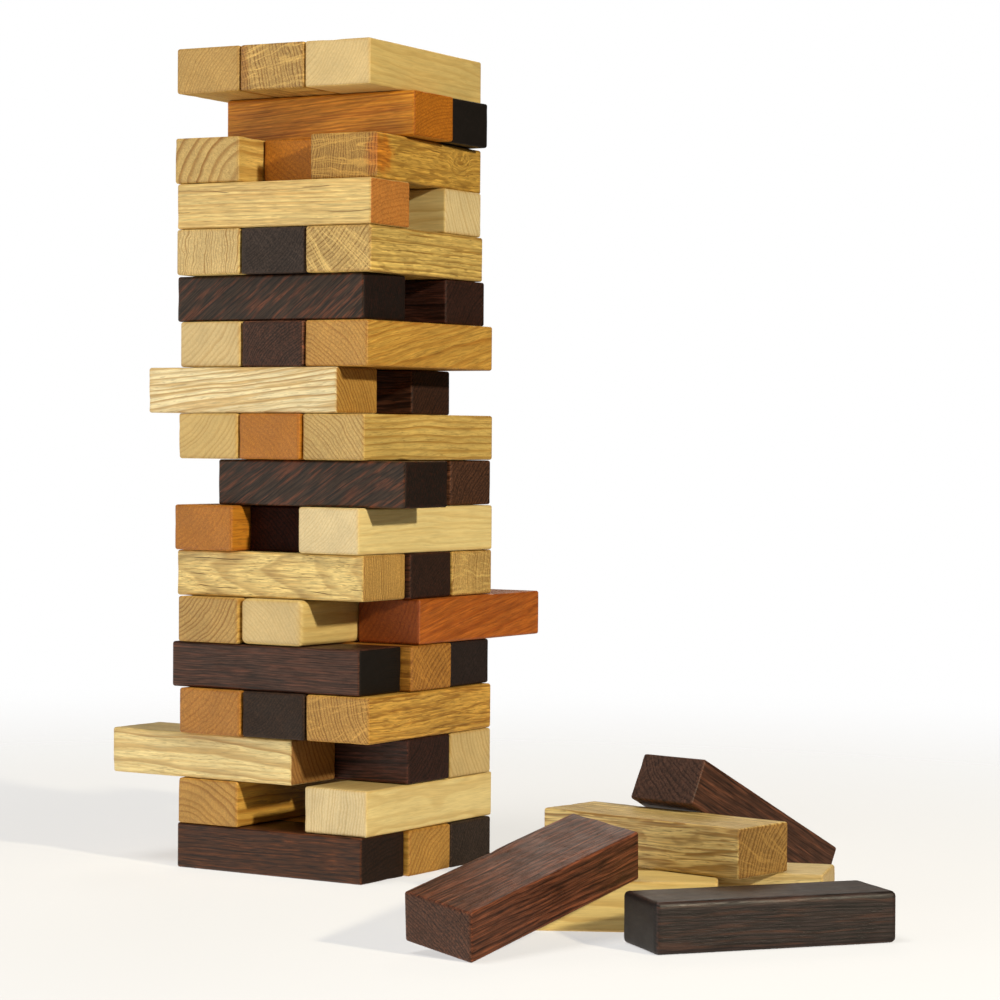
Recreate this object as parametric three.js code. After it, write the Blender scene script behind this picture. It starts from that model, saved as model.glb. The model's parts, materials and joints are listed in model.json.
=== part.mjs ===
// A giant tumbling tower in play: eighteen crossed levels of hardwood blocks, three slots to a level,
// with six blocks already drawn out and thrown in a heap beside it.
//
// Frame: millimetres, +Z up. The origin is on the ground under the tower's centre line. Blocks of the odd
// levels lie along X and those of the even levels along Y. -Y is the front and the heap is off to +X.

import * as THREE from 'three';
import { ConvexGeometry } from 'three/addons/geometries/ConvexGeometry.js';

// Driving dimensions
const BLOCK_LENGTH = 180;
const BLOCK_WIDTH = 59;
const BLOCK_HEIGHT = 36;
const EDGE_BEVEL = 2;
const STACK_GAP = 0.3;
const SLOT_PITCH = BLOCK_LENGTH / 3;
const LEVEL_PITCH = BLOCK_HEIGHT + STACK_GAP;

// The woods, as planed and oiled
const WOODS = {
  oak: { color: 0xc08f4c, roughness: 0.6 },
  ash: { color: 0xd3ab68, roughness: 0.6 },
  maple: { color: 0xe0c888, roughness: 0.55 },
  alder: { color: 0xc08443, roughness: 0.6 },
  cherry: { color: 0xb5652b, roughness: 0.5 },
  walnut: { color: 0x4b2c1e, roughness: 0.5 },
  wenge: { color: 0x3a2620, roughness: 0.55 },
  blackwood: { color: 0x211d1d, roughness: 0.45 },
};

// Slots across a level, from the front in the odd levels and from the left in the even ones
const ODD_SLOTS = { front: -SLOT_PITCH, middle: 0, back: SLOT_PITCH };
const EVEN_SLOTS = { left: -SLOT_PITCH, middle: 0, right: SLOT_PITCH };

// Every level from the ground up. The players' pushes have twisted it by turn degrees and left its centre
// at drift in plan. A block is its slot, how far it has been pushed along its own length, and its wood.
// A slot that isn't listed is empty.
const LEVELS = [
  { turn: -1, drift: [0, 0], blocks: [['front', -1, 'walnut'], ['middle', 3, 'alder'], ['back', 3, 'blackwood']] },
  { turn: -1, drift: [2, 0], blocks: [['left', -3, 'ash'], ['right', 3, 'maple']] },
  { turn: -1.5, drift: [2, -3], blocks: [['front', -67, 'ash'], ['middle', 2, 'walnut'], ['back', 2, 'maple']] },
  { turn: 0, drift: [7, -6], blocks: [['left', -3, 'alder'], ['middle', -1, 'blackwood'], ['right', 0, 'oak']] },
  { turn: 0, drift: [3, -4], blocks: [['front', -7, 'wenge'], ['middle', 2, 'oak'], ['back', 0, 'blackwood']] },
  { turn: -1, drift: [5, -4], blocks: [['left', -4, 'ash'], ['middle', -2, 'maple'], ['right', 74, 'cherry']] },
  { turn: -0.5, drift: [0, 1], blocks: [['front', -3, 'oak'], ['middle', 1, 'wenge'], ['back', 2, 'oak']] },
  { turn: -3.5, drift: [2, -3], blocks: [['left', -5, 'alder'], ['middle', 16, 'walnut'], ['right', 2, 'maple']] },
  { turn: -1.5, drift: [0, 4], blocks: [['front', 36, 'wenge'], ['back', -2, 'walnut']] },
  { turn: -2, drift: [2, -2], blocks: [['left', -2, 'maple'], ['middle', -1, 'alder'], ['right', 2, 'ash']] },
  { turn: 1, drift: [-5, -1], blocks: [['front', -26, 'ash'], ['back', -32, 'walnut']] },
  { turn: -1, drift: [0, 1], blocks: [['left', -1, 'maple'], ['middle', 0, 'wenge'], ['right', 2, 'alder']] },
  { turn: -0.5, drift: [-6, 5], blocks: [['front', -1, 'wenge'], ['back', -3, 'walnut']] },
  { turn: 3, drift: [-3, -3], blocks: [['left', -1, 'ash'], ['middle', 0, 'blackwood'], ['right', -1, 'oak']] },
  { turn: 2.5, drift: [-3, -3], blocks: [['front', 0, 'alder'], ['back', -3, 'maple']] },
  { turn: 5, drift: [-10, 2], blocks: [['left', -1, 'ash'], ['middle', 36, 'alder'], ['right', 5, 'oak']] },
  { turn: 0.5, drift: [0, 1], blocks: [['middle', 0, 'cherry'], ['back', -4, 'blackwood']] },
  { turn: 3, drift: [-14, 8], blocks: [['left', 2, 'ash'], ['middle', 2, 'oak'], ['right', 2, 'maple']] },
];

// The heap: where each block's centre is in plan, the turn of its long axis from +X, how far that axis
// tips its far end up, the roll about it, and how many blocks it lies on. All angles are in degrees.
const HEAP = [
  { name: 'loose_wenge_front', wood: 'wenge', at: [464, -163], turn: 51 },
  { name: 'loose_maple_under', wood: 'maple', at: [330, -162], turn: 27 },
  { name: 'loose_ash_back', wood: 'ash', at: [373, -68], turn: 17 },
  { name: 'loose_oak_crosswise', wood: 'oak', at: [347, -85], turn: -10, layer: 1 },
  { name: 'loose_walnut_propped', wood: 'walnut', at: [331, -256], turn: 80, tip: 12.1, roll: 9 },
  { name: 'loose_walnut_sloping', wood: 'walnut', at: [352, 20.3], turn: 78, tip: -26.4 },
];

// One block along X, centred on its own middle, with every edge eased by the same bevel
function blockGeometry() {
  const half = [BLOCK_LENGTH / 2, BLOCK_WIDTH / 2, BLOCK_HEIGHT / 2];
  const signs = [-1, 1];
  const points = [];
  for (const x of signs) {
    for (const y of signs) {
      for (const z of signs) {
        for (const full of [0, 1, 2]) {
          const reach = half.map((h, axis) => (axis === full ? h : h - EDGE_BEVEL));
          points.push(new THREE.Vector3(x * reach[0], y * reach[1], z * reach[2]));
        }
      }
    }
  }
  return new ConvexGeometry(points);
}

function block(name, wood) {
  const material = new THREE.MeshStandardMaterial({ ...WOODS[wood], metalness: 0 });
  const mesh = new THREE.Mesh(blockGeometry(), material);
  mesh.name = name;
  return mesh;
}

// A level's blocks lie side by side along X. An even level is the same thing turned a quarter left.
function level(number, { turn, drift, blocks }) {
  const even = number % 2 === 0;
  const slots = even ? EVEN_SLOTS : ODD_SLOTS;
  const group = new THREE.Group();
  group.position.set(drift[0], drift[1], (number - 1) * LEVEL_PITCH + BLOCK_HEIGHT / 2);
  group.rotation.z = THREE.MathUtils.degToRad(turn);
  for (const [slot, push, wood] of blocks) {
    const mesh = block(`level_${String(number).padStart(2, '0')}_${slot}`, wood);
    if (even) {
      mesh.rotation.z = Math.PI / 2;
      mesh.position.set(slots[slot], push, 0);
    } else {
      mesh.position.set(push, slots[slot], 0);
    }
    group.add(mesh);
  }
  return group;
}

// A loose block is turned as it lies, then set down until its lowest point meets what is under it.
function looseBlock({ name, wood, at, turn, tip = 0, roll = 0, layer = 0 }) {
  const mesh = block(name, wood);
  const [rollBy, tipBy, turnBy] = [roll, -tip, turn].map(THREE.MathUtils.degToRad);
  mesh.rotation.set(rollBy, tipBy, turnBy, 'ZYX');
  mesh.position.set(at[0], at[1], 0);
  const lowest = new THREE.Box3().setFromObject(mesh, true).min.z;
  mesh.position.z = layer * LEVEL_PITCH - lowest;
  return mesh;
}

const tower = new THREE.Group();
LEVELS.forEach((layout, index) => tower.add(level(index + 1, layout)));

const heap = new THREE.Group();
HEAP.forEach((layout) => heap.add(looseBlock(layout)));

const part = new THREE.Group();
part.add(tower, heap);

export default part;
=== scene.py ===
"""The looks of the giant tumbling tower: 54 hardwood blocks on a pale studio floor.

Each block is a round-edged, slightly knocked solid that stands for its CAD node. Its wood is
grown from rings round a pith line in the block's own space, so the lines on its long faces and
the arcs on its end grain belong together. Nothing here is an image: all of it is shader nodes.
"""

import json
import math

import bpy
import numpy as np
from mathutils import Matrix, Vector

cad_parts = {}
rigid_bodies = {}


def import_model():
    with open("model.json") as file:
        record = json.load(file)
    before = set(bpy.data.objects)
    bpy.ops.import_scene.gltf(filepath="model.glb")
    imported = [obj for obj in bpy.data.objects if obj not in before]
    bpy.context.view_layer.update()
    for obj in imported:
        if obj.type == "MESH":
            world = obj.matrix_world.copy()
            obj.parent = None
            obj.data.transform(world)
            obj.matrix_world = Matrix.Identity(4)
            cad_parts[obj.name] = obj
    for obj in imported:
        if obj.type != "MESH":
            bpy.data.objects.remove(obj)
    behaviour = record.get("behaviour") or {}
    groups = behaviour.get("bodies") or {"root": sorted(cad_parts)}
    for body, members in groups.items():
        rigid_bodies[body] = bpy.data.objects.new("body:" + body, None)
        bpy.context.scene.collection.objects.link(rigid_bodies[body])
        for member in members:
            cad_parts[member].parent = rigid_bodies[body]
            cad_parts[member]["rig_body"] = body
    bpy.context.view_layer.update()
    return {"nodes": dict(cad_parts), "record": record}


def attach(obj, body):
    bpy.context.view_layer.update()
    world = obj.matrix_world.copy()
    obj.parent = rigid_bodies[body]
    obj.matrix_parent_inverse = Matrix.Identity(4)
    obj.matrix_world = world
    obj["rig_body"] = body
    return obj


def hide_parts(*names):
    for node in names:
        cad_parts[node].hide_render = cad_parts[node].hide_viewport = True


MM = 0.001

# A block's length, width and thickness, and the usual radius of its eased edges, in mm.
BLOCK_SIZE = np.array([180.0, 59.0, 36.0])
EDGE_RADIUS = 2.0
GRID_STEP = 5.0

# The axis of a block that runs along its grain.
ALONG = 0

# How uneven a block is: the dents along its edges, and how far its faces lie inside the CAD
# block's on average, in mm.
DENTS = 6
FACE_INSET = 0.06

# How far apart the wood of two blocks lies in the tree, and two layers of cracks, in mm.
WOOD_SPACING = 331.0
CRACK_SPACING = 8.0

# Tints against a block's tone, the darkest share that its fibres may leave of it, and the least
# ray figure that is drawn.
PORE_TINT = (0.42, 0.34, 0.28)
RAY_TINT = (1.42, 1.45, 1.42)
CRACK_TINT = (0.22, 0.15, 0.10)
DARKEST_FIBRE = 0.15
LEAST_RAY = 0.3

# Where the camera stands: degrees, and metres from the tower's middle line.
CAMERA_AZIMUTH = 31.2
CAMERA_PITCH = -1.2
CAMERA_ROLL = 0.4
CAMERA_DISTANCE = 2.498
CAMERA_HEIGHT = 0.347
CAMERA_ASIDE = 0.132
CAMERA_LENS = 111.5
CAMERA_SENSOR = 36.0

# Each lamp's azimuth and elevation in degrees, distance and width in metres, watts and colour.
LAMPS = {
    "key": (74.0, 21.0, 4.0, 0.24, 134.0, (1.0, 0.89, 0.66)),
    "top": (-5.0, 66.0, 3.2, 1.5, 42.0, (1.0, 0.99, 0.97)),
    "back": (205.0, 34.0, 3.2, 1.5, 15.0, (1.0, 0.94, 0.84)),
}

# The light of the surroundings: a glow low on the front left, and dim elsewhere.
GLOW_DIRECTION = (-0.62, -0.52, -0.59)
GLOW_COLOUR = (2.1, 2.0, 1.8, 1.0)
DIM_COLOUR = (0.06, 0.045, 0.025, 1.0)

# The floor: its radius, where its fade to nothing starts and ends, in metres, and the share of
# it that shows in the middle.
FLOOR_RADIUS = 6.0
FLOOR_FADE = (0.3, 1.8)
FLOOR_ALPHA = 0.5

# What each kind of wood is like. Sizes are in mm, and tints are against the block's tone.
# ring: spacing of the growth rings, contrast: strength of their dark side, late: its tint.
# pore: open vessels, ray: pale lines out from the pith, fibre: fine streaks along the grain.
# streak: colour marks with their length, width and amount, streak_tint: their tint.
# checks: drying cracks. end_grain_and_shade_tint and edge_wear_and_highlight_tint: tints of the end
# grain, on some blocks also painted
# shade, and of the edges: wear, and where they lighten the dark woods also a painted highlight.
# roughness: of the long faces, gloss: their specular level.
WOODS = {
    "oak": dict(
        ring=2.8, contrast=0.95, late=(0.42, 0.30, 0.16), pore=0.80, ray=0.60, fibre=0.24,
        streak=(140, 1.9, 0.65), streak_tint=(0.50, 0.36, 0.20), checks=0.5,
        end_grain_and_shade_tint=(0.80, 0.78, 0.90), edge_wear_and_highlight_tint=(0.80, 0.66, 0.48), roughness=0.44, gloss=0.42,
    ),
    "ash": dict(
        ring=3.4, contrast=0.95, late=(0.52, 0.36, 0.19), pore=0.55, ray=0.10, fibre=0.17,
        streak=(160, 2.6, 0.45), streak_tint=(0.70, 0.54, 0.34), checks=0.0,
        end_grain_and_shade_tint=(0.80, 0.78, 0.90), edge_wear_and_highlight_tint=(0.84, 0.72, 0.54), roughness=0.42, gloss=0.42,
    ),
    "maple": dict(
        ring=4.2, contrast=0.60, late=(0.72, 0.58, 0.40), pore=0.12, ray=0.12, fibre=0.08,
        streak=(120, 4, 0.30), streak_tint=(0.82, 0.70, 0.52), checks=0.0,
        end_grain_and_shade_tint=(0.88, 0.88, 1.05), edge_wear_and_highlight_tint=(0.86, 0.74, 0.56), roughness=0.40, gloss=0.45,
    ),
    "alder": dict(
        ring=4.0, contrast=0.70, late=(0.56, 0.40, 0.26), pore=0.45, ray=0.10, fibre=0.24,
        streak=(60, 2.2, 0.45), streak_tint=(0.70, 0.52, 0.34), checks=0.0,
        end_grain_and_shade_tint=(0.80, 0.76, 0.85), edge_wear_and_highlight_tint=(0.80, 0.64, 0.46), roughness=0.44, gloss=0.42,
    ),
    "cherry": dict(
        ring=4.6, contrast=0.75, late=(0.54, 0.38, 0.24), pore=0.40, ray=0.12, fibre=0.26,
        streak=(110, 2.4, 0.50), streak_tint=(0.62, 0.44, 0.28), checks=0.0,
        end_grain_and_shade_tint=(0.72, 0.58, 0.46), edge_wear_and_highlight_tint=(0.78, 0.60, 0.42), roughness=0.40, gloss=0.45,
    ),
    # On the dark woods below, edge_wear_and_highlight_tint lightens the edges: partly wear, partly a
    # painted highlight.
    "walnut": dict(
        ring=3.2, contrast=1.00, late=(0.26, 0.20, 0.17), pore=0.75, ray=0.10, fibre=0.60,
        streak=(90, 1.8, 0.80), streak_tint=(2.00, 1.80, 1.60), checks=0.0,
        end_grain_and_shade_tint=(0.62, 0.58, 0.56), edge_wear_and_highlight_tint=(1.50, 1.25, 1.10), roughness=0.42, gloss=0.26,
    ),
    "wenge": dict(
        ring=2.2, contrast=1.00, late=(0.20, 0.18, 0.18), pore=0.60, ray=0.12, fibre=0.55,
        streak=(36, 2.4, 0.90), streak_tint=(2.10, 1.60, 1.35), checks=0.0,
        end_grain_and_shade_tint=(0.42, 0.40, 0.42), edge_wear_and_highlight_tint=(1.55, 1.25, 1.10), roughness=0.44, gloss=0.24,
    ),
    "blackwood": dict(
        ring=2.4, contrast=0.90, late=(0.30, 0.30, 0.32), pore=0.60, ray=0.50, fibre=0.55,
        streak=(40, 2.0, 0.70), streak_tint=(1.80, 1.60, 1.40), checks=0.0,
        end_grain_and_shade_tint=(0.78, 0.74, 0.74), edge_wear_and_highlight_tint=(1.50, 1.30, 1.15), roughness=0.46, gloss=0.26,
    ),
}

# The colours of the woods in 8-bit sRGB, roughly from the palest to the darkest.
TONES = {
    "milk": (230, 215, 170),
    "cream": (230, 210, 150),
    "straw": (225, 200, 130),
    "corn": (225, 190, 110),
    "wheat": (215, 190, 125),
    "sand": (210, 180, 105),
    "barley": (200, 165, 90),
    "honey": (205, 160, 75),
    "bronze": (190, 150, 70),
    "amber": (205, 140, 45),
    "caramel": (190, 135, 55),
    "ginger": (190, 125, 35),
    "rust": (180, 100, 35),
    "cocoa": (95, 65, 50),
    "chestnut": (85, 50, 35),
    "umber": (70, 45, 35),
    "bark": (65, 35, 15),
    "plum": (60, 35, 30),
    "slate": (55, 45, 40),
    "coffee": (50, 35, 25),
    "pitch": (42, 32, 32),
    # painted shade: the colour of the deep shade in the recess that level_08_middle sits in, not a
    # wood's own.
    "painted_recess_shade": (45, 15, 5),
    "soot": (20, 15, 15),
}

# How each block was sawn. tone names its colour in TONES. pith is where the tree's middle lies in
# the block's own width and thickness, in mm. skew tilts the grain on the long side and slant
# tilts it on the top, in degrees. calm is the share of the rings' contrast kept on the long
# faces. wander is how far the grain drifts and radius that of the eased edges, in mm. knot is a
# knot's place in mm, and stain a stain's place and reaches in mm. The rest overrides the wood's
# own figures.
LOOKS = {
    "level_01_front": dict(
        tone="bark", end_grain_and_shade_tint=(0.3, 0.35, 0.6), pith=(40, -150), skew=0.5, slant=1,
    ),
    "level_01_middle": dict(tone="honey", pith=(70, -75)),
    "level_01_back": dict(tone="slate", pith=(80, -60)),
    "level_02_left": dict(tone="honey", pith=(30, -62), ring=6.0, contrast=0.75),
    "level_02_right": dict(tone="cream", pith=(150, 10), ring=2.6),
    # Its end_grain_and_shade_tint is partly the end grain's colour and partly painted shade: the end
    # is darkened towards the shade that level 4 casts on it.
    "level_03_front": dict(
        tone="cream", end_grain_and_shade_tint=(0.4, 0.25, 0.15), pith=(115, 60), ring=4.4, contrast=0.95,
        slant=0.8,
    ),
    "level_03_middle": dict(tone="plum", pith=(-60, 50)),
    "level_03_back": dict(tone="wheat", pith=(90, 40)),
    "level_04_left": dict(tone="caramel", pith=(60, 62), ring=3.6, contrast=0.55),
    "level_04_middle": dict(tone="coffee", pith=(60, 60)),
    "level_04_right": dict(
        tone="honey", pith=(-95, 32), ring=2.9, slant=1.5, contrast=1.0, calm=0.8,
    ),
    "level_05_front": dict(
        tone="umber", end_grain_and_shade_tint=(0.1, 0.15, 0.2), pith=(30, -120), ring=1.8,
        streak=(60, 1.8, 0.4),
    ),
    "level_05_middle": dict(tone="caramel", pith=(62, -66), ring=4.2, contrast=0.8),
    "level_05_back": dict(tone="pitch", pith=(70, -70)),
    "level_06_left": dict(tone="barley", pith=(46, 42), ring=3.5, contrast=0.9),
    "level_06_middle": dict(
        tone="wheat", pith=(60, -52), ring=2.8, contrast=0.4, radius=5.0,
    ),
    "level_06_right": dict(tone="rust", pith=(100, 70), skew=11, contrast=0.55),
    "level_07_front": dict(
        tone="straw", end_grain_and_shade_tint=(0.75, 0.6, 0.45), pith=(100, 5), ring=2.2, slant=3.0,
        contrast=1.0, calm=0.6, checks=1.0, ray=0.2, streak=(160, 1.8, 0.5), wander=2.6,
    ),
    "level_07_middle": dict(tone="umber", pith=(66, -60), ray=0.5),
    "level_07_back": dict(tone="corn", pith=(125, -10), ring=1.9),
    "level_08_left": dict(tone="ginger", pith=(60, 60), contrast=0.35, pore=0.6),
    # Its tone is painted shade: the block is painted as dark as the shaded recess it is pushed into.
    "level_08_middle": dict(tone="painted_recess_shade", pith=(60, -60), gloss=0.05),
    "level_08_right": dict(tone="cream", pith=(66, 62), ring=2.4, contrast=0.35),
    "level_09_front": dict(
        tone="coffee", end_grain_and_shade_tint=(0.4, 0.35, 0.45), pith=(85, -95), skew=32,
        streak=(30, 2.5, 1.0), streak_tint=(3.0, 1.75, 1.35),
    ),
    "level_09_back": dict(tone="cocoa", pith=(66, -60)),
    "level_10_left": dict(tone="sand", pith=(62, 60)),
    "level_10_middle": dict(tone="ginger", pith=(70, -90), contrast=0.3, pore=0.7),
    "level_10_right": dict(tone="sand", pith=(62, -60), ring=3.0, contrast=0.75, skew=1),
    "level_11_front": dict(
        tone="milk", end_grain_and_shade_tint=(0.6, 0.4, 0.15), pith=(-75, -55), skew=6, streak=(80, 4, 0.75),
    ),
    "level_11_back": dict(tone="umber", pith=(66, -60)),
    "level_12_left": dict(tone="wheat", pith=(62, 60)),
    "level_12_middle": dict(tone="cocoa", pith=(-60, -60)),
    "level_12_right": dict(tone="honey", pith=(46, -42), ring=3.0, skew=11, pore=0.5),
    "level_13_front": dict(
        tone="coffee", end_grain_and_shade_tint=(0.3, 0.25, 0.4), pith=(85, -90), skew=37,
        streak=(28, 2.6, 1.0), streak_tint=(3.0, 1.75, 1.35),
    ),
    "level_13_back": dict(tone="plum", pith=(66, -60)),
    "level_14_left": dict(tone="straw", pith=(130, 6), ring=2.2, wander=9),
    "level_14_middle": dict(tone="slate", pith=(66, 64), ray=0.8),
    "level_14_right": dict(
        tone="sand", pith=(70, 72), ring=3.0, ray=1.0, contrast=1.0, calm=0.8,
        streak=(260, 2.0, 0.85), wander=2.5,
    ),
    "level_15_front": dict(
        tone="wheat", end_grain_and_shade_tint=(0.75, 0.4, 0.2), pith=(30, -150), ring=3.2, contrast=0.5,
        streak=(200, 2.0, 0.5), checks=0.7, wander=2,
    ),
    "level_15_back": dict(tone="cream", pith=(80, 40)),
    "level_16_left": dict(tone="sand", pith=(-56, -36), ring=8.6, contrast=1.0),
    "level_16_middle": dict(
        tone="ginger", end_grain_and_shade_tint=(0.92, 0.86, 0.74), pith=(60, -60), contrast=0.4,
    ),
    "level_16_right": dict(
        tone="bronze", pith=(125, 4), ring=2.1, ray=1.0, contrast=1.0, calm=0.45, wander=5,
        streak=(110, 1.6, 0.4), knot=(52, -30, 4), stain=((-84, -30, 2), (22, 12, 16)),
        stain_tint=(0.98, 0.62, 0.34),
    ),
    "level_17_middle": dict(
        tone="amber", pith=(40, -140), skew=3, ring=2.6, contrast=0.6,
        streak=(200, 1.8, 0.7), wander=2, gloss=0.2,
    ),
    "level_17_back": dict(tone="soot", pith=(66, -60)),
    "level_18_left": dict(tone="barley", pith=(-82, -52), ring=2.5, contrast=0.5),
    "level_18_middle": dict(
        tone="barley", pith=(150, -32), ring=3.0, ray=0.9,
        stain=((-90, 30, 0), (60, 9, 26)), stain_tint=(0.72, 0.58, 0.44),
    ),
    "level_18_right": dict(tone="wheat", pith=(92, 62), ring=2.6, contrast=0.4, slant=1),
    "loose_wenge_front": dict(
        tone="pitch", pith=(30, -110), streak=(60, 2.4, 0.8), streak_tint=(2.2, 1.5, 1.0),
        radius=4.0, gloss=0.4,
    ),
    "loose_maple_under": dict(tone="straw", pith=(90, 40)),
    "loose_ash_back": dict(tone="cream", pith=(-60, 50), ring=4.0),
    # Its end_grain_and_shade_tint is partly end grain and partly painted shade: the end is darkened
    # for the weaker light it gets on the heap.
    "loose_oak_crosswise": dict(
        tone="wheat", end_grain_and_shade_tint=(0.50, 0.38, 0.26), pith=(62, -34), ring=3.4, contrast=1.0,
        skew=1, streak=(200, 2.0, 0.9),
    ),
    "loose_walnut_propped": dict(
        tone="chestnut", end_grain_and_shade_tint=(0.9, 1.0, 1.0), pith=(60, -90), ring=2.4,
        streak=(110, 1.8, 0.8),
    ),
    "loose_walnut_sloping": dict(tone="umber", end_grain_and_shade_tint=(1.0, 1.1, 1.2), pith=(-60, 70)),
}


def look_of(name, slot):
    """Everything that one block's mesh and material need: its wood's figures under its own."""
    look = dict(WOODS[slot], wander=4.0, skew=0.0, slant=0.0, calm=1.0, radius=EDGE_RADIUS)
    look.update(LOOKS[name])
    look["tone"] = TONES[look["tone"]]
    look["seed"] = 1 + list(LOOKS).index(name)
    return look


# ---------------------------------------------------------------------------- shader nodes


class Nodes:
    """Short calls that add nodes to one material and wire them."""

    def __init__(self, tree):
        self.tree = tree

    def put(self, socket, value):
        """Wires a socket to value, or sets it where value is a plain number or colour."""
        if isinstance(value, bpy.types.NodeSocket):
            self.tree.links.new(value, socket)
        else:
            socket.default_value = value

    def add(self, kind, **settings):
        node = self.tree.nodes.new("ShaderNode" + kind)
        for name, value in settings.items():
            setattr(node, name, value)
        return node

    def math(self, operation, *values):
        node = self.add("Math", operation=operation)
        for socket, value in zip(node.inputs, values):
            self.put(socket, value)
        return node.outputs[0]

    def vector(self, operation, *values, scale=None):
        node = self.add("VectorMath", operation=operation)
        for socket, value in zip(node.inputs, values):
            self.put(socket, value)
        if scale is not None:
            self.put(node.inputs["Scale"], scale)
        return node.outputs["Value" if operation in ("LENGTH", "DOT_PRODUCT") else "Vector"]

    def parts(self, vector):
        node = self.add("SeparateXYZ")
        self.put(node.inputs[0], vector)
        return node.outputs

    def joined(self, x, y, z):
        node = self.add("CombineXYZ")
        for socket, value in zip(node.inputs, (x, y, z)):
            self.put(socket, value)
        return node.outputs[0]

    def noise(self, vector, detail=2.0, coloured=False):
        """Smooth noise whose features are about one unit of vector across."""
        node = self.add("TexNoise")
        self.put(node.inputs["Vector"], vector)
        node.inputs["Scale"].default_value = 1.0
        node.inputs["Detail"].default_value = detail
        return node.outputs["Color" if coloured else "Fac"]

    def ramp(self, value, low, high, to_low=0.0, to_high=1.0):
        """A smooth step from to_low to to_high while value goes from low to high."""
        node = self.add("MapRange", interpolation_type="SMOOTHSTEP")
        for socket, number in zip(node.inputs, (value, low, high, to_low, to_high)):
            self.put(socket, number)
        return node.outputs[0]

    def mix(self, share, a, b):
        node = self.add("Mix", data_type="RGBA")
        for index, value in ((0, share), (6, a), (7, b)):
            self.put(node.inputs[index], value)
        return node.outputs[2]


def linear(tone, tint=(1.0, 1.0, 1.0)):
    """A linear colour with alpha from an 8-bit sRGB tone, times a tint."""
    shares = [c / 255 for c in tone]
    plain = [s / 12.92 if s <= 0.04045 else ((s + 0.055) / 1.055) ** 2.4 for s in shares]
    return (*[min(1.0, p * t) for p, t in zip(plain, tint)], 1.0)


def stretched(n, grain, length, width):
    """Grain space in which a mark of that length and width, in mm, is one unit each way."""
    return n.vector("MULTIPLY", grain, (1 / length, 1 / width, 1 / width))


def knot(n, place, centre):
    """How far the grain is pushed aside round a knot at that point, in mm."""
    offset = n.vector("SUBTRACT", place, tuple(c * MM for c in centre))
    offset = n.vector("MULTIPLY", offset, (1 / (19 * MM), 1 / (22 * MM), 1 / (10 * MM)))
    push = n.ramp(n.vector("LENGTH", offset), 0.0, 1.3, 6.0, 0.0)
    return n.joined(0.0, push, push)


def grain_space(n, look):
    """Block space in mm turned so that x runs along the fibres and the pith is the x axis."""
    place = n.add("TexCoord").outputs["Object"]
    turn = n.add("Mapping")
    n.put(turn.inputs["Vector"], n.vector("SCALE", place, scale=1 / MM))
    pith_across, pith_through = look["pith"]
    turn.inputs["Location"].default_value = (WOOD_SPACING * look["seed"], -pith_across, -pith_through)
    skew, slant = math.radians(look["skew"]), math.radians(look["slant"])
    turn.inputs["Rotation"].default_value = (0.0, skew, slant)
    straight = turn.outputs[0]
    drift = n.noise(stretched(n, straight, 110, 26), 2.0, True)
    drift = n.vector("SUBTRACT", drift, (0.5, 0.5, 0.5))
    bend = n.vector("MULTIPLY", drift, (0.0, 2 * look["wander"], 2 * look["wander"]))
    grain = n.vector("ADD", straight, bend)
    if "knot" in look:
        grain = n.vector("ADD", grain, knot(n, place, look["knot"]))
    return place, grain


def rings(n, grain, look):
    """Share of dark latewood, which ends each ring sharply, the ring's year and its radius."""
    radius = n.vector("LENGTH", n.vector("MULTIPLY", grain, (0.0, 1.0, 1.0)))
    seasons = n.noise(n.joined(n.math("DIVIDE", radius, 3.1 * look["ring"]), look["seed"], 0.0))
    turns = n.math("ADD", n.math("DIVIDE", radius, look["ring"]), n.math("MULTIPLY", seasons, 2.2))
    year = n.math("FRACT", turns)
    number = n.math("FLOOR", turns)
    thick = n.noise(n.joined(n.math("MULTIPLY", number, 3.7), look["seed"], 0.0), 0.0)
    band = n.math("MULTIPLY", n.ramp(year, 0.35, 0.86), n.ramp(year, 0.88, 1.0, 1.0, 0.0))
    return n.math("MULTIPLY", band, n.ramp(thick, 0.25, 0.6, 0.35, 1.0)), year, radius


def rays(n, grain, radius, look):
    """Share of pale ray tissue: thin sheets that stand out from the pith, each a few cm high."""
    fibre, across, through = n.parts(grain)
    reach = math.hypot(*look["pith"])
    arc = n.math("MULTIPLY", n.math("ARCTAN2", through, across), reach)
    out = n.math("DIVIDE", radius, 70.0)
    broad = n.noise(n.joined(n.math("DIVIDE", arc, 5.0), out, look["seed"]), 1.0)
    line = n.ramp(n.math("ABSOLUTE", n.math("SUBTRACT", broad, 0.5)), 0.012, 0.05, 1.0, 0.0)
    patch = n.noise(n.joined(n.math("DIVIDE", arc, 4.0), out, n.math("DIVIDE", fibre, 14.0)), 0.0)
    thin = n.noise(n.joined(n.math("DIVIDE", arc, 1.3), out, n.math("DIVIDE", fibre, 22.0)), 1.0)
    sheets = n.math("MULTIPLY", line, n.ramp(patch, 0.40, 0.55))
    return n.math("MAXIMUM", sheets, n.ramp(thin, 0.52, 0.75, 0.0, 0.7))


def pores(n, grain, year):
    """Share of open vessels, densest where a ring starts."""
    vessels = n.noise(stretched(n, grain, 9.0, 0.55), 1.0)
    early = n.ramp(year, 0.1, 0.7, 1.0, 0.45)
    return n.math("MULTIPLY", n.ramp(vessels, 0.56, 0.68), early)


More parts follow.
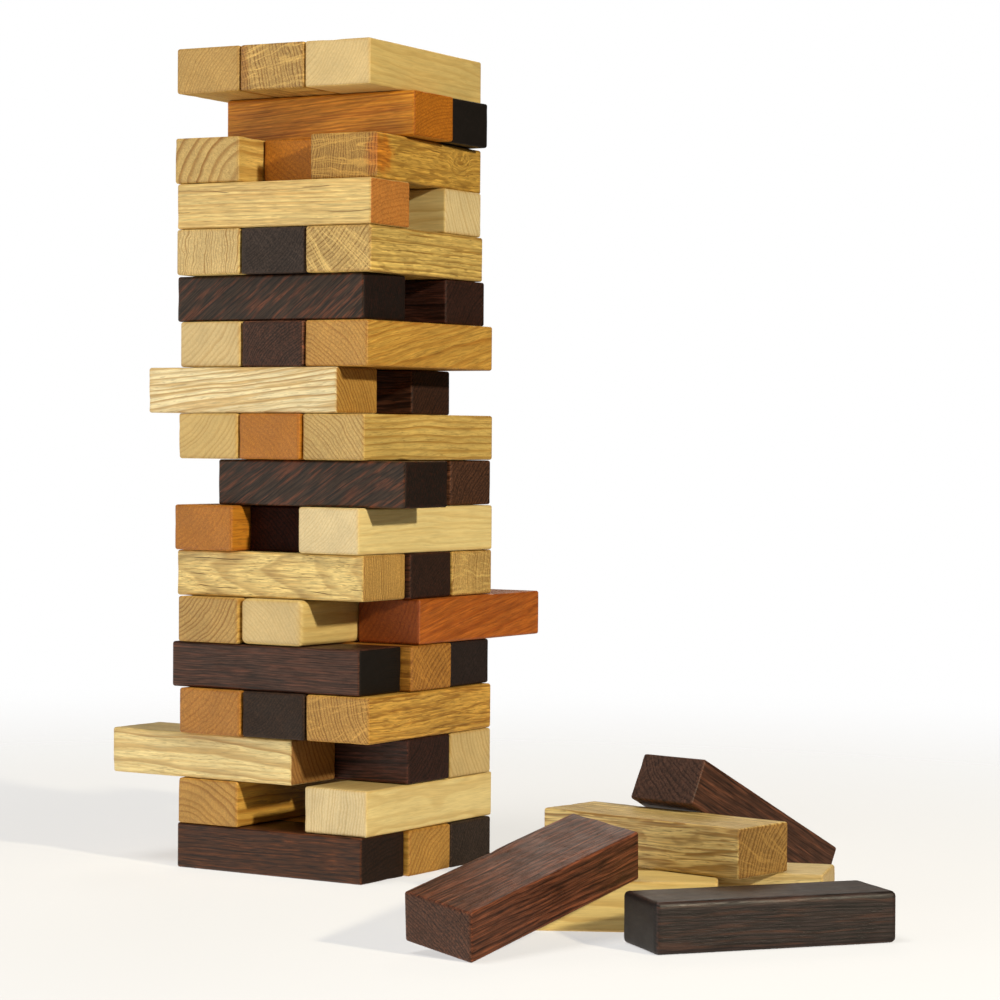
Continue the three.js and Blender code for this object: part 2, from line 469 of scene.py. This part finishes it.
def worn_and_highlit_edges(n, place):
    """1 on a block's edges, 0 a few millimetres in from them, with spared spots: where wear and a
    painted highlight go.
    """
    gaps = n.vector("SUBTRACT", tuple(BLOCK_SIZE * MM / 2), n.vector("ABSOLUTE", place))
    a, b, c = n.parts(gaps)
    least = n.math("MINIMUM", a, n.math("MINIMUM", b, c))
    most = n.math("MAXIMUM", a, n.math("MAXIMUM", b, c))
    total = n.math("ADD", a, n.math("ADD", b, c))
    middle = n.math("SUBTRACT", total, n.math("ADD", least, most))
    close = n.ramp(middle, 0.4 * MM, 3.6 * MM, 1.0, 0.0)
    spots = n.noise(n.vector("SCALE", place, scale=1 / (14 * MM)), 2.0)
    return n.math("MULTIPLY", close, n.ramp(spots, 0.30, 0.65, 0.25, 1.0))


def end_grain(n):
    """1 on the two small ends of a block, 0 on its four long faces."""
    facing = n.add("TexCoord").outputs["Normal"]
    return n.ramp(n.math("ABSOLUTE", n.parts(facing)[ALONG]), 0.55, 0.85)


def checks(n, grain):
    """Thin drying cracks that follow the grain in a few places."""
    _, across, through = n.parts(grain)
    sway = n.noise(stretched(n, grain, 70.0, 25.0), 1.0)
    layer = n.math("DIVIDE", n.math("ADD", across, through), CRACK_SPACING)
    layer = n.math("ADD", layer, n.math("MULTIPLY", sway, 1.6))
    off = n.math("ABSOLUTE", n.math("SUBTRACT", n.math("FRACT", layer), 0.5))
    where = n.noise(stretched(n, grain, 34.0, 7.0), 1.0)
    return n.math("MULTIPLY", n.ramp(off, 0.015, 0.06, 1.0, 0.0), n.ramp(where, 0.54, 0.64))


def stain(n, place, spot):
    """Share of a stain with a ragged rim, round a centre and as far as its reaches, in mm."""
    centre, reaches = spot
    offset = n.vector("SUBTRACT", place, tuple(c * MM for c in centre))
    offset = n.vector("MULTIPLY", offset, tuple(1 / (r * MM) for r in reaches))
    ragged = n.noise(n.vector("SCALE", place, scale=1 / (9 * MM)), 3.0)
    return n.ramp(n.math("ADD", n.vector("LENGTH", offset), ragged), 1.1, 1.7, 1.0, 0.0)


def toned(n, colour, share, look, tint):
    """Colour moved by share towards the block's tone times tint."""
    return n.mix(share, colour, linear(look["tone"], tint))


def wood_figure(n, look):
    """The marks in one block's wood that its colour, relief and roughness share."""
    place, grain = grain_space(n, look)
    late, year, radius = rings(n, grain, look)
    figure = dict(place=place, grain=grain, late=late, radius=radius, end=end_grain(n))
    figure["fine"] = n.noise(stretched(n, grain, 28.0, 0.7), 2.0)
    figure["pores"] = pores(n, grain, year)
    if look["checks"]:
        share = n.math("MULTIPLY", n.math("SUBTRACT", 1.0, figure["end"]), look["checks"])
        figure["cracks"] = n.math("MULTIPLY", checks(n, grain), share)
    return figure


def figured_colour(n, look, figure):
    """The block's tone with its rings, streaks, pores, rays and stain."""
    grain = figure["grain"]
    end = figure["end"]
    strength = n.ramp(end, 0.0, 1.0, look["contrast"] * look["calm"], look["contrast"])
    late = n.math("MULTIPLY", figure["late"], strength)
    colour = toned(n, linear(look["tone"]), late, look, look["late"])
    length, width, amount = look["streak"]
    marks = n.ramp(n.noise(stretched(n, grain, length, width), 2.0), 0.47, 0.66)
    marks = n.math("MULTIPLY", marks, n.ramp(end, 0.0, 1.0, amount, 0.35 * amount))
    colour = toned(n, colour, marks, look, look["streak_tint"])
    vessels = n.math("MULTIPLY", figure["pores"], look["pore"])
    colour = toned(n, colour, vessels, look, PORE_TINT)
    if look["ray"] > LEAST_RAY:
        sheets = n.math("MULTIPLY", rays(n, grain, figure["radius"], look), 0.75 * look["ray"])
        colour = toned(n, colour, sheets, look, RAY_TINT)
    if "stain" in look:
        stained = n.vector("MULTIPLY", colour, look["stain_tint"])
        colour = n.mix(stain(n, figure["place"], look["stain"]), colour, stained)
    return colour


def fibre_shade(n, look, figure):
    """Light and dark along the fibres, as a factor near 1."""
    grain = figure["grain"]
    dashes = n.noise(stretched(n, grain, 16.0, 1.8), 1.0)
    cloud = n.noise(stretched(n, grain, 90.0, 30.0), 2.0)
    threads = n.math("MULTIPLY", n.math("SUBTRACT", figure["fine"], 0.5), 4 * look["fibre"])
    flecks = n.math("MULTIPLY", n.math("SUBTRACT", dashes, 0.5), 3 * look["fibre"])
    shade = n.math("ADD", n.math("ADD", threads, 1.0), flecks)
    shade = n.math("MAXIMUM", shade, DARKEST_FIBRE)
    return n.math("MULTIPLY", shade, n.ramp(cloud, 0.25, 0.75, 0.92, 1.08))


def wood_colour(n, look, figure):
    """The finished colour, with the tints of the ends (end grain, on some blocks also painted shade)
    and of the edges (wear, and a painted highlight on dark woods), and dark cracks.
    """
    shade = fibre_shade(n, look, figure)
    colour = n.vector("SCALE", figured_colour(n, look, figure), scale=shade)
    # The end tint: the end grain's own colour, on some blocks also painted shade.
    colour = n.mix(figure["end"], colour, n.vector("MULTIPLY", colour, look["end_grain_and_shade_tint"]))
    # The edges' tint: wear, and where it lightens the dark woods, a painted highlight.
    edge = n.math("MULTIPLY", worn_and_highlit_edges(n, figure["place"]), 0.55)
    colour = n.mix(edge, colour, n.vector("MULTIPLY", colour, look["edge_wear_and_highlight_tint"]))
    if "cracks" in figure:
        colour = toned(n, colour, figure["cracks"], look, CRACK_TINT)
    return colour


def wood_relief(n, look, figure):
    """A bump from the fibres, with pores, latewood and cracks sunk in. Depths are in mm."""
    fibres = 0.05 + 0.1 * look["fibre"]
    height = n.math("MULTIPLY", n.math("SUBTRACT", figure["fine"], 0.5), fibres)
    height = n.math("SUBTRACT", height, n.math("MULTIPLY", figure["pores"], 0.10 * look["pore"]))
    height = n.math("SUBTRACT", height, n.math("MULTIPLY", figure["late"], 0.02))
    if "cracks" in figure:
        height = n.math("SUBTRACT", height, n.math("MULTIPLY", figure["cracks"], 0.35))
    bump = n.add("Bump")
    bump.inputs["Strength"].default_value = 1.0
    bump.inputs["Distance"].default_value = MM
    n.put(bump.inputs["Height"], height)
    return bump.outputs[0]


def wood_roughness(n, look, figure):
    """An uneven oiled sheen on the long faces, duller on the ends and in the pores."""
    smear = n.noise(n.vector("SCALE", figure["place"], scale=1 / (22 * MM)), 3.0)
    roughness = n.ramp(smear, 0.3, 0.7, look["roughness"] - 0.02, look["roughness"] + 0.06)
    roughness = n.math("ADD", roughness, n.math("MULTIPLY", figure["end"], 0.16))
    return n.math("ADD", roughness, n.math("MULTIPLY", figure["pores"], 0.10))


def wood_material(name, look):
    """One block's wood: colour, roughness and relief, all from its own grain space."""
    material = bpy.data.materials.new("wood_" + name)
    material.use_nodes = True
    n = Nodes(material.node_tree)
    shader = material.node_tree.nodes["Principled BSDF"]
    figure = wood_figure(n, look)
    n.put(shader.inputs["Base Color"], wood_colour(n, look, figure))
    n.put(shader.inputs["Roughness"], wood_roughness(n, look, figure))
    n.put(shader.inputs["Normal"], wood_relief(n, look, figure))
    shader.inputs["Specular IOR Level"].default_value = look["gloss"]
    return material


# ---------------------------------------------------------------------------- block meshes


def grid_lines(size):
    """Places of the grid lines along one side of a block, closer together by its edges."""
    by_the_edge = np.array([0.0, 0.6, 1.2, 1.8, 2.5, 3.6, 5.4])
    inner = size - 2 * by_the_edge[-1]
    steps = max(2, round(inner / GRID_STEP))
    middle = np.linspace(by_the_edge[-1], size - by_the_edge[-1], steps + 1)[1:-1]
    return np.concatenate([by_the_edge, middle, size - by_the_edge[::-1]]) - size / 2


def block_grid():
    """Points and four-sided faces of a sharp block whose six sides share their edge points."""
    lines = [grid_lines(size) for size in BLOCK_SIZE]
    index = {}
    faces = []

    def corner(axis, end, i, j):
        key = [0, 0, 0]
        first, second = [a for a in range(3) if a != axis]
        key[axis] = end
        key[first] = i
        key[second] = j
        return index.setdefault(tuple(key), len(index))

    for axis in range(3):
        first, second = [a for a in range(3) if a != axis]
        for end in (0, len(lines[axis]) - 1):
            outward = (end > 0) == (axis != 1)
            for i in range(len(lines[first]) - 1):
                for j in range(len(lines[second]) - 1):
                    ring = [(i, j), (i + 1, j), (i + 1, j + 1), (i, j + 1)]
                    face = [corner(axis, end, *place) for place in ring]
                    faces.append(face if outward else face[::-1])
    points = np.array([[lines[a][key[a]] for a in range(3)] for key in index])
    return points, faces


def waves(points, random, size):
    """A smooth random swell over points, between about -1 and 1, with features of that size."""
    total = np.zeros(len(points))
    for _ in range(5):
        direction = random.normal(size=3)
        direction /= np.linalg.norm(direction)
        pace = 2 * math.pi / size * random.uniform(0.6, 1.4)
        total += np.cos(points @ direction * pace + random.uniform(0, 2 * math.pi))
    return total / 5


def eased(points, radius):
    """The sharp block's points with its edges rounded off to radius, which may vary."""
    half = BLOCK_SIZE / 2
    core = np.clip(points, -(half - radius[:, None]), half - radius[:, None])
    out = points - core
    length = np.linalg.norm(out, axis=1, keepdims=True)
    return core + out / length * radius[:, None]


def knocks(points, random, count):
    """Small dents along the edges, as falls on the ground leave. They only press inwards."""
    half = BLOCK_SIZE / 2
    for _ in range(count):
        along = random.integers(3)
        side = random.choice([-1.0, 1.0], size=3)
        centre = side * half
        centre[along] = random.uniform(-half[along], half[along])
        inward = -side
        inward[along] = 0.0
        inward /= np.linalg.norm(inward)
        reach = random.uniform(1.6, 4.5)
        depth = reach * random.uniform(0.05, 0.14)
        near = np.exp(-np.sum((points - centre) ** 2, axis=1) / (2 * reach**2))
        points = points + inward * depth * near[:, None]
    return points


def block_mesh(name, look, grid):
    """The mesh of one block in its own space, in metres."""
    points, faces = grid
    random = np.random.default_rng(look["seed"])
    radius = look["radius"] * (1 + 0.14 * waves(points, random, 60.0))
    shape = eased(points, radius)
    shape = knocks(shape, random, DENTS)
    inset = FACE_INSET * (1 + waves(points, random, 80.0))
    shape = shape * (1 - inset[:, None] / (BLOCK_SIZE / 2))
    mesh = bpy.data.meshes.new(name)
    mesh.from_pydata((shape * MM).tolist(), [], faces)
    mesh.polygons.foreach_set("use_smooth", [True] * len(faces))
    mesh.update()
    return mesh


def block_matrix(node):
    """The place of a CAD block: its middle, and its long, broad and thin directions."""
    corners = np.unique(np.array([v.co for v in node.data.vertices]).round(6), axis=0)
    middle = corners.mean(axis=0)
    _, directions = np.linalg.eigh((corners - middle).T @ (corners - middle))
    along = directions[:, 2]
    along = along * np.sign(along[np.argmax(abs(along))])
    through = directions[:, 0] * np.sign(directions[2, 0])
    across = np.cross(through, along)
    matrix = Matrix.Identity(4)
    for column, axis in enumerate((along, across, through, middle)):
        for row in range(3):
            matrix[row][column] = axis[row]
    return matrix


def make_block(node_name, body, slot, grid):
    """One finished block, which stands for its CAD node and rides on that node's body."""
    look = look_of(node_name, slot)
    name = "block_" + node_name
    block = bpy.data.objects.new(name, block_mesh(name, look, grid))
    bpy.context.scene.collection.objects.link(block)
    block.matrix_world = block_matrix(frame["nodes"][node_name])
    block.data.materials.append(wood_material(node_name, look))
    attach(block, body)
    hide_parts(node_name)


def make_blocks():
    """All blocks, each on its CAD node's body and in the wood that the record names for it."""
    grid = block_grid()
    slots = {part["node"]: part["material_slot"] for part in frame["record"]["subparts"]}
    for node_name, node in frame["nodes"].items():
        make_block(node_name, node["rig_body"], slots[node_name], grid)


# ---------------------------------------------------------------------------- studio


def make_floor():
    """A pale round floor that melts into the bright backdrop further out."""
    bpy.ops.mesh.primitive_circle_add(vertices=96, radius=FLOOR_RADIUS, fill_type="NGON")
    floor = bpy.context.object
    floor.name = "studio_floor"
    material = bpy.data.materials.new("studio_floor")
    material.use_nodes = True
    n = Nodes(material.node_tree)
    shader = material.node_tree.nodes["Principled BSDF"]
    shader.inputs["Base Color"].default_value = (0.93, 0.925, 0.915, 1.0)
    shader.inputs["Roughness"].default_value = 0.85
    shader.inputs["Specular IOR Level"].default_value = 0.15
    shader.inputs["Emission Color"].default_value = (1.0, 0.99, 0.97, 1.0)
    shader.inputs["Emission Strength"].default_value = 0.12
    place = n.add("TexCoord").outputs["Object"]
    fade = n.ramp(n.vector("LENGTH", place), *FLOOR_FADE, FLOOR_ALPHA, 0.0)
    n.put(shader.inputs["Alpha"], fade)
    floor.data.materials.append(material)


def make_backdrop():
    """White to the camera. All other rays meet a dim world with a soft glow on one side."""
    world = bpy.data.worlds.new("studio")
    bpy.context.scene.world = world
    world.use_nodes = True
    n = Nodes(world.node_tree)
    seen = world.node_tree.nodes["Background"]
    seen.inputs["Color"].default_value = (1.0, 1.0, 1.0, 1.0)
    lit_by = n.add("Background")
    direction = n.add("TexCoord").outputs["Generated"]
    sweep = n.ramp(n.vector("DOT_PRODUCT", direction, GLOW_DIRECTION), 0.2, 0.9)
    n.put(lit_by.inputs["Color"], n.mix(sweep, DIM_COLOUR, GLOW_COLOUR))
    either = n.add("MixShader")
    n.put(either.inputs[0], n.add("LightPath").outputs["Is Camera Ray"])
    n.put(either.inputs[1], lit_by.outputs[0])
    n.put(either.inputs[2], seen.outputs[0])
    n.put(world.node_tree.nodes["World Output"].inputs["Surface"], either.outputs[0])


def make_light(name, azimuth, elevation, distance, size, power, colour):
    """A round lamp aimed at the middle of the tower, placed by azimuth and elevation."""
    aim = Vector((0.05, 0.0, 0.30))
    turn, rise = math.radians(azimuth), math.radians(elevation)
    level = math.cos(rise)
    away = Vector((math.sin(turn) * level, -math.cos(turn) * level, math.sin(rise)))
    data = bpy.data.lights.new(name, "AREA")
    data.shape = "DISK"
    data.size = size
    data.energy = power
    data.color = colour
    lamp = bpy.data.objects.new(name, data)
    bpy.context.scene.collection.objects.link(lamp)
    lamp.location = aim + away * distance
    lamp.rotation_euler = (-away).to_track_quat("-Z", "Y").to_euler()


def make_lights():
    """A small warm key from the right, a broad lamp high in front and a weak one behind."""
    for name, lamp in LAMPS.items():
        make_light(name, *lamp)


def make_camera():
    """The camera, about level with the tower's middle and to the right of its front."""
    data = bpy.data.cameras.new("camera")
    data.lens = CAMERA_LENS
    data.sensor_width = CAMERA_SENSOR
    camera = bpy.data.objects.new("camera", data)
    bpy.context.scene.collection.objects.link(camera)
    azimuth = math.radians(CAMERA_AZIMUTH)
    back = Vector((math.sin(azimuth), -math.cos(azimuth), 0.0))
    right = Vector((math.cos(azimuth), math.sin(azimuth), 0.0))
    place = back * CAMERA_DISTANCE + right * CAMERA_ASIDE + Vector((0, 0, CAMERA_HEIGHT))
    turn = Matrix.Rotation(azimuth, 4, "Z")
    tilt = Matrix.Rotation(math.radians(90 + CAMERA_PITCH), 4, "X")
    roll = Matrix.Rotation(math.radians(CAMERA_ROLL), 4, "Z")
    camera.matrix_world = Matrix.Translation(place) @ turn @ tilt @ roll
    bpy.context.scene.camera = camera


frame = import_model()
bpy.context.scene.view_settings.view_transform = "Standard"
make_camera()
make_backdrop()
make_lights()
make_floor()
make_blocks()
